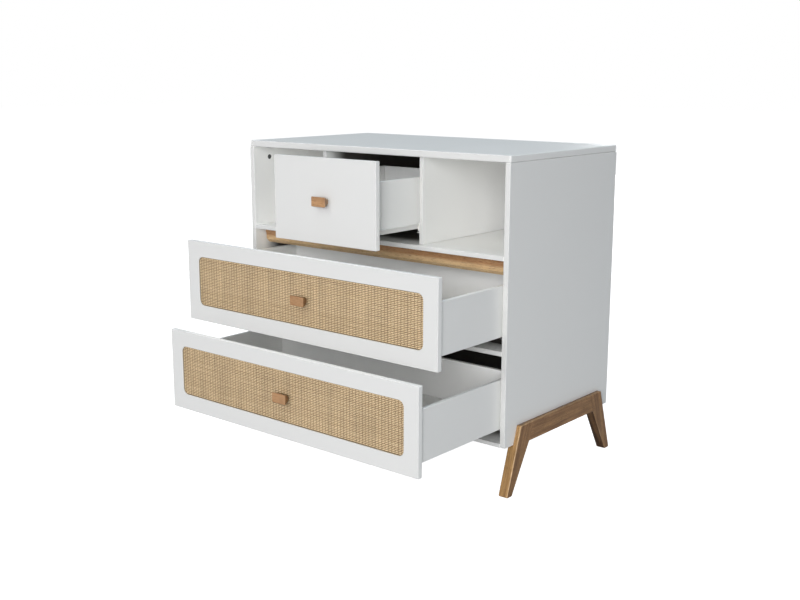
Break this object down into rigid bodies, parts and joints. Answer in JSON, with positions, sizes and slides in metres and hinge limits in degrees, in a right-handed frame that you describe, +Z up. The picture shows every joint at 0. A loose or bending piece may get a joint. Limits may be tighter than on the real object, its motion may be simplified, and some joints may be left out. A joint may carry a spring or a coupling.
{
  "type": "chest of drawers",
  "caption": "Low white chest on raked oak legs: wide cane-fronted drawers below open niches and a small central drawer, all on runners.",
  "frame": {"origin": "on the floor, under the centre of the bounding box with the drawers open as in the rest pose", "axes": "+X to the right as seen from the front, -Y out of the front, +Z up"},
  "size_m": [1.028, 0.9396, 0.947],
  "materials": {
    "lacquer": "white satin lacquer on board",
    "hardboard": "white faced hardboard",
    "oak": "oiled oak",
    "cane": "woven cane on a board",
    "zinc_steel": "zinc plated",
    "dark_zinc": "dark die casting",
    "white_epoxy": "white epoxy on sheet steel",
    "nylon": "white nylon"
  },
  "bodies": {
    "root": {"top_panel": "lacquer", "side_panel_left": "lacquer", "side_panel_right": "lacquer", "bottom_panel": "lacquer", "mid_rail": "lacquer", "niche_shelf": "lacquer", "divider_left": "lacquer", "divider_right": "lacquer", "back_panel": "hardboard", "accent_strip": "oak", "cam_lock_left": "dark_zinc", "cam_lock_right": "dark_zinc", "leg_front_left": "oak", "leg_front_right": "oak", "leg_rear_left": "oak", "leg_rear_right": "oak", "leg_rail_left": "oak", "leg_rail_right": "oak", "lower_case_runner_left": "zinc_steel", "lower_case_runner_right": "zinc_steel", "upper_case_runner_left": "zinc_steel", "upper_case_runner_right": "zinc_steel", "small_case_runner_left": "white_epoxy", "small_case_runner_right": "white_epoxy"},
    "lower_drawer": {"lower_drawer_frame": "lacquer", "lower_drawer_rattan": "cane", "lower_drawer_box_front": "lacquer", "lower_drawer_side_left": "lacquer", "lower_drawer_side_right": "lacquer", "lower_drawer_back": "lacquer", "lower_drawer_bottom": "lacquer", "lower_drawer_knob": "oak", "lower_drawer_knob_screw": "zinc_steel", "lower_drawer_runner_left": "zinc_steel", "lower_drawer_runner_right": "zinc_steel"},
    "upper_drawer": {"upper_drawer_frame": "lacquer", "upper_drawer_rattan": "cane", "upper_drawer_box_front": "lacquer", "upper_drawer_side_left": "lacquer", "upper_drawer_side_right": "lacquer", "upper_drawer_back": "lacquer", "upper_drawer_bottom": "lacquer", "upper_drawer_knob": "oak", "upper_drawer_knob_screw": "zinc_steel", "upper_drawer_runner_left": "zinc_steel", "upper_drawer_runner_right": "zinc_steel"},
    "small_drawer": {"small_drawer_front": "lacquer", "small_drawer_side_left": "lacquer", "small_drawer_side_right": "lacquer", "small_drawer_back": "lacquer", "small_drawer_bottom": "lacquer", "small_drawer_knob": "oak", "small_drawer_knob_screw": "zinc_steel", "small_drawer_runner_left": "white_epoxy", "small_drawer_runner_right": "white_epoxy"},
    "left_case_roller": {"case_roller_left": "nylon"},
    "right_case_roller": {"case_roller_right": "nylon"},
    "left_drawer_roller": {"drawer_roller_left": "nylon"},
    "right_drawer_roller": {"drawer_roller_right": "nylon"}
  },
  "joints": [
    {"name": "lower_drawer_slide", "type": "slide", "parent": "root", "child": "lower_drawer", "axis": [0, -1, 0], "range_m": [-0.356, 0.016]},
    {"name": "upper_drawer_slide", "type": "slide", "parent": "root", "child": "upper_drawer", "axis": [0, -1, 0], "range_m": [-0.28, 0.092]},
    {"name": "small_drawer_slide", "type": "slide", "parent": "root", "child": "small_drawer", "axis": [0, -1, 0], "range_m": [-0.186, 0.134]},
    {"name": "left_case_roller_spin", "type": "hinge", "parent": "root", "child": "left_case_roller", "pos_m": [-0.1736, -0.06279, 0.724], "axis": [1, 0, 0], "range_deg": [-1040, 750]},
    {"name": "right_case_roller_spin", "type": "hinge", "parent": "root", "child": "right_case_roller", "pos_m": [0.1736, -0.06279, 0.724], "axis": [1, 0, 0], "range_deg": [-1040, 750]},
    {"name": "left_drawer_roller_spin", "type": "hinge", "parent": "small_drawer", "child": "left_drawer_roller", "pos_m": [-0.1736, 0.14151, 0.7237], "axis": [1, 0, 0], "range_deg": [-1040, 750]},
    {"name": "right_drawer_roller_spin", "type": "hinge", "parent": "small_drawer", "child": "right_drawer_roller", "pos_m": [0.1736, 0.14151, 0.7237], "axis": [1, 0, 0], "range_deg": [-1040, 750]}
  ],
  "couplings": [
    {"joint": "left_case_roller_spin", "follows": "small_drawer_slide", "rad_per_m": 95.2},
    {"joint": "right_case_roller_spin", "follows": "small_drawer_slide", "rad_per_m": 95.2},
    {"joint": "left_drawer_roller_spin", "follows": "small_drawer_slide", "rad_per_m": 93.4},
    {"joint": "right_drawer_roller_spin", "follows": "small_drawer_slide", "rad_per_m": 93.4}
  ]
}
